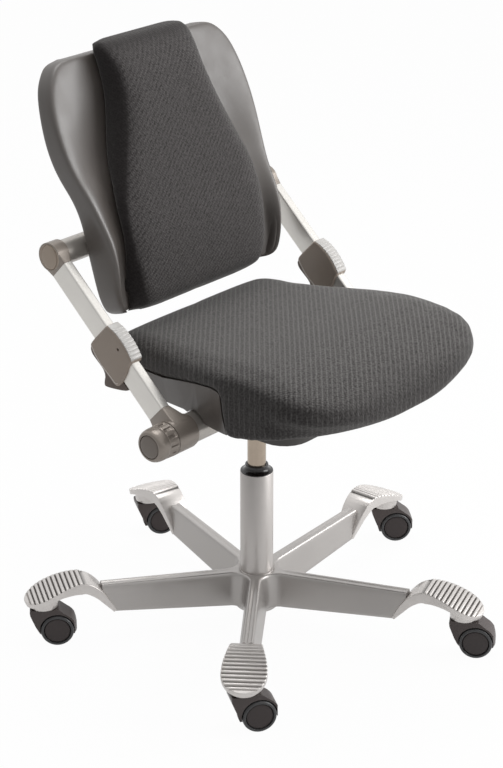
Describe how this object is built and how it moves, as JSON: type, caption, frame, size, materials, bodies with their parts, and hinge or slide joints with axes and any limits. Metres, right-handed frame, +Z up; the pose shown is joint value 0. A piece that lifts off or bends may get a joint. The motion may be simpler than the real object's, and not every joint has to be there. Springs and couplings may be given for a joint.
{
  "type": "office swivel chair",
  "caption": "Office swivel chair with a ribbed five-legged base, padded seat and a narrow padded back hung between two slanted arm bars.",
  "frame": {"origin": "on the floor, on the axis of the lift column", "axes": "+Z up, the sitter faces -Y, +X is the sitter's left"},
  "size_m": [0.6724, 0.702, 0.8821],
  "materials": {
    "silver_casting": "satin silver-grey paint",
    "column_paint": "satin silver-grey paint",
    "collar_black": "glossy black",
    "guide_black": "matte",
    "steel": "bright steel",
    "dark_metal": "dark grey powder coat",
    "tube_paint": "warm grey paint",
    "arm_aluminium": "satin anodised",
    "grey_plastic": "warm grey, lightly textured",
    "shell_plastic": "dark grey, satin",
    "pan_plastic": "warm dark grey, satin",
    "fabric": "charcoal weave with a lighter stripe",
    "hood_plastic": "satin near-black",
    "wheel_tread": "dark grey"
  },
  "bodies": {
    "base": {"base_casting": "silver_casting", "column_tube": "column_paint", "column_collar": "collar_black", "column_guide": "guide_black", "thrust_bearing": "steel", "rod_clip": "steel"},
    "piston": {"piston_rod": "steel"},
    "lift": {"gas_cylinder": "steel", "tilt_housing": "dark_metal", "lower_cross_tube": "tube_paint", "tube_end_cap": "grey_plastic", "tension_spindle": "steel"},
    "knob": {"tension_knob": "grey_plastic", "knob_disc": "grey_plastic"},
    "seat": {"seat_frame": "dark_metal", "seat_bolts": "steel", "seat_pan": "pan_plastic", "seat_cushion": "fabric"},
    "arms": {"arm_bar_left": "arm_aluminium", "arm_bar_right": "arm_aluminium", "lower_hub_left": "grey_plastic", "lower_hub_right": "grey_plastic", "upper_hub_left": "grey_plastic", "upper_hub_right": "grey_plastic", "upper_cap_left": "grey_plastic", "upper_cap_right": "grey_plastic", "upper_cross_tube": "tube_paint"},
    "backrest": {"back_bracket": "dark_metal", "back_screws": "steel", "back_shell": "shell_plastic", "back_cushion": "fabric"},
    "slider_body_left": {"slider_left": "grey_plastic", "slider_grip_left": "grey_plastic", "lever_pin_left": "steel"},
    "lever_body_left": {"squeeze_lever_left": "grey_plastic"},
    "slider_body_right": {"slider_right": "grey_plastic", "slider_grip_right": "grey_plastic", "lever_pin_right": "steel"},
    "lever_body_right": {"squeeze_lever_right": "grey_plastic"},
    "swivel_1": {"caster_1_stem": "steel", "caster_1_hood": "hood_plastic"},
    "wheel_1_left": {"caster_1_wheel_left": "wheel_tread"},
    "wheel_1_right": {"caster_1_wheel_right": "wheel_tread"},
    "swivel_2": {"caster_2_stem": "steel", "caster_2_hood": "hood_plastic"},
    "wheel_2_left": {"caster_2_wheel_left": "wheel_tread"},
    "wheel_2_right": {"caster_2_wheel_right": "wheel_tread"},
    "swivel_3": {"caster_3_stem": "steel", "caster_3_hood": "hood_plastic"},
    "wheel_3_left": {"caster_3_wheel_left": "wheel_tread"},
    "wheel_3_right": {"caster_3_wheel_right": "wheel_tread"},
    "swivel_4": {"caster_4_stem": "steel", "caster_4_hood": "hood_plastic"},
    "wheel_4_left": {"caster_4_wheel_left": "wheel_tread"},
    "wheel_4_right": {"caster_4_wheel_right": "wheel_tread"},
    "swivel_5": {"caster_5_stem": "steel", "caster_5_hood": "hood_plastic"},
    "wheel_5_left": {"caster_5_wheel_left": "wheel_tread"},
    "wheel_5_right": {"caster_5_wheel_right": "wheel_tread"}
  },
  "joints": [
    {"name": "column_swivel", "type": "hinge", "parent": "base", "child": "piston", "pos_m": [0, 0, 0.2], "axis": [0, 0, 1], "continuous": true},
    {"name": "height", "type": "slide", "parent": "piston", "child": "lift", "axis": [0, 0, 1], "range_m": [-0.075, 0.03]},
    {"name": "recline", "type": "hinge", "parent": "lift", "child": "arms", "pos_m": [0, -0.0456, 0.3951], "axis": [-1, 0, 0], "range_deg": [0, 12]},
    {"name": "seat_tilt", "type": "hinge", "parent": "lift", "child": "seat", "pos_m": [0, -0.0456, 0.3951], "axis": [-1, 0, 0], "range_deg": [0, 6]},
    {"name": "tension_turn", "type": "hinge", "parent": "lift", "child": "knob", "pos_m": [-0.26, -0.0456, 0.3951], "axis": [-1, 0, 0], "continuous": true},
    {"name": "back_pivot", "type": "hinge", "parent": "arms", "child": "backrest", "pos_m": [0, 0.18057, 0.60711], "axis": [-1, 0, 0], "range_deg": [-5, 8]},
    {"name": "slider_move_left", "type": "slide", "parent": "arms", "child": "slider_body_left", "axis": [0, 0.7296, 0.6839], "range_m": [-0.05, 0.06]},
    {"name": "lever_squeeze_left", "type": "hinge", "parent": "slider_body_left", "child": "lever_body_left", "pos_m": [0.2304, 0.05216, 0.45385], "axis": [1, 0, 0], "range_deg": [0, 3], "stiffness_Nm_per_rad": 0.3},
    {"name": "slider_move_right", "type": "slide", "parent": "arms", "child": "slider_body_right", "axis": [0, 0.7296, 0.6839], "range_m": [-0.05, 0.06]},
    {"name": "lever_squeeze_right", "type": "hinge", "parent": "slider_body_right", "child": "lever_body_right", "pos_m": [-0.2304, 0.05216, 0.45385], "axis": [1, 0, 0], "range_deg": [0, 3], "stiffness_Nm_per_rad": 0.3},
    {"name": "caster_swivel_1", "type": "hinge", "parent": "base", "child": "swivel_1", "pos_m": [0.32994, 0.00634, 0.04], "axis": [0, 0, 1], "continuous": true},
    {"name": "wheel_spin_1_left", "type": "hinge", "parent": "swivel_1", "child": "wheel_1_left", "pos_m": [0.34337, -0.0071, 0.025], "axis": [0.7071, 0.7071, 0], "continuous": true},
    {"name": "wheel_spin_1_right", "type": "hinge", "parent": "swivel_1", "child": "wheel_1_right", "pos_m": [0.34337, -0.0071, 0.025], "axis": [0.7071, 0.7071, 0], "continuous": true},
    {"name": "caster_swivel_2", "type": "hinge", "parent": "base", "child": "swivel_2", "pos_m": [0.09593, 0.31575, 0.04], "axis": [0, 0, 1], "continuous": true},
    {"name": "wheel_spin_2_left", "type": "hinge", "parent": "swivel_2", "child": "wheel_2_left", "pos_m": [0.11168, 0.30512, 0.025], "axis": [0.5592, 0.829, 0], "continuous": true},
    {"name": "wheel_spin_2_right", "type": "hinge", "parent": "swivel_2", "child": "wheel_2_right", "pos_m": [0.11168, 0.30512, 0.025], "axis": [0.5592, 0.829, 0], "continuous": true},
    {"name": "caster_swivel_3", "type": "hinge", "parent": "base", "child": "swivel_3", "pos_m": [-0.27065, 0.18881, 0.04], "axis": [0, 0, 1], "continuous": true},
    {"name": "wheel_spin_3_left", "type": "hinge", "parent": "swivel_3", "child": "wheel_3_left", "pos_m": [-0.25722, 0.17537, 0.025], "axis": [0.7071, 0.7071, 0], "continuous": true},
    {"name": "wheel_spin_3_right", "type": "hinge", "parent": "swivel_3", "child": "wheel_3_right", "pos_m": [-0.25722, 0.17537, 0.025], "axis": [0.7071, 0.7071, 0], "continuous": true},
    {"name": "caster_swivel_4", "type": "hinge", "parent": "base", "child": "swivel_4", "pos_m": [-0.2632, -0.19906, 0.04], "axis": [0, 0, 1], "continuous": true},
    {"name": "wheel_spin_4_left", "type": "hinge", "parent": "swivel_4", "child": "wheel_4_left", "pos_m": [-0.24764, -0.20996, 0.025], "axis": [0.5736, 0.8192, 0], "continuous": true},
    {"name": "wheel_spin_4_right", "type": "hinge", "parent": "swivel_4", "child": "wheel_4_right", "pos_m": [-0.24764, -0.20996, 0.025], "axis": [0.5736, 0.8192, 0], "continuous": true},
    {"name": "caster_swivel_5", "type": "hinge", "parent": "base", "child": "swivel_5", "pos_m": [0.10798, -0.31183, 0.04], "axis": [0, 0, 1], "continuous": true},
    {"name": "wheel_spin_5_left", "type": "hinge", "parent": "swivel_5", "child": "wheel_5_left", "pos_m": [0.11805, -0.32795, 0.025], "axis": [0.848, 0.5299, 0], "continuous": true},
    {"name": "wheel_spin_5_right", "type": "hinge", "parent": "swivel_5", "child": "wheel_5_right", "pos_m": [0.11805, -0.32795, 0.025], "axis": [0.848, 0.5299, 0], "continuous": true}
  ],
  "couplings": [
    {"joint": "seat_tilt", "follows": "recline", "ratio": 0.5}
  ]
}
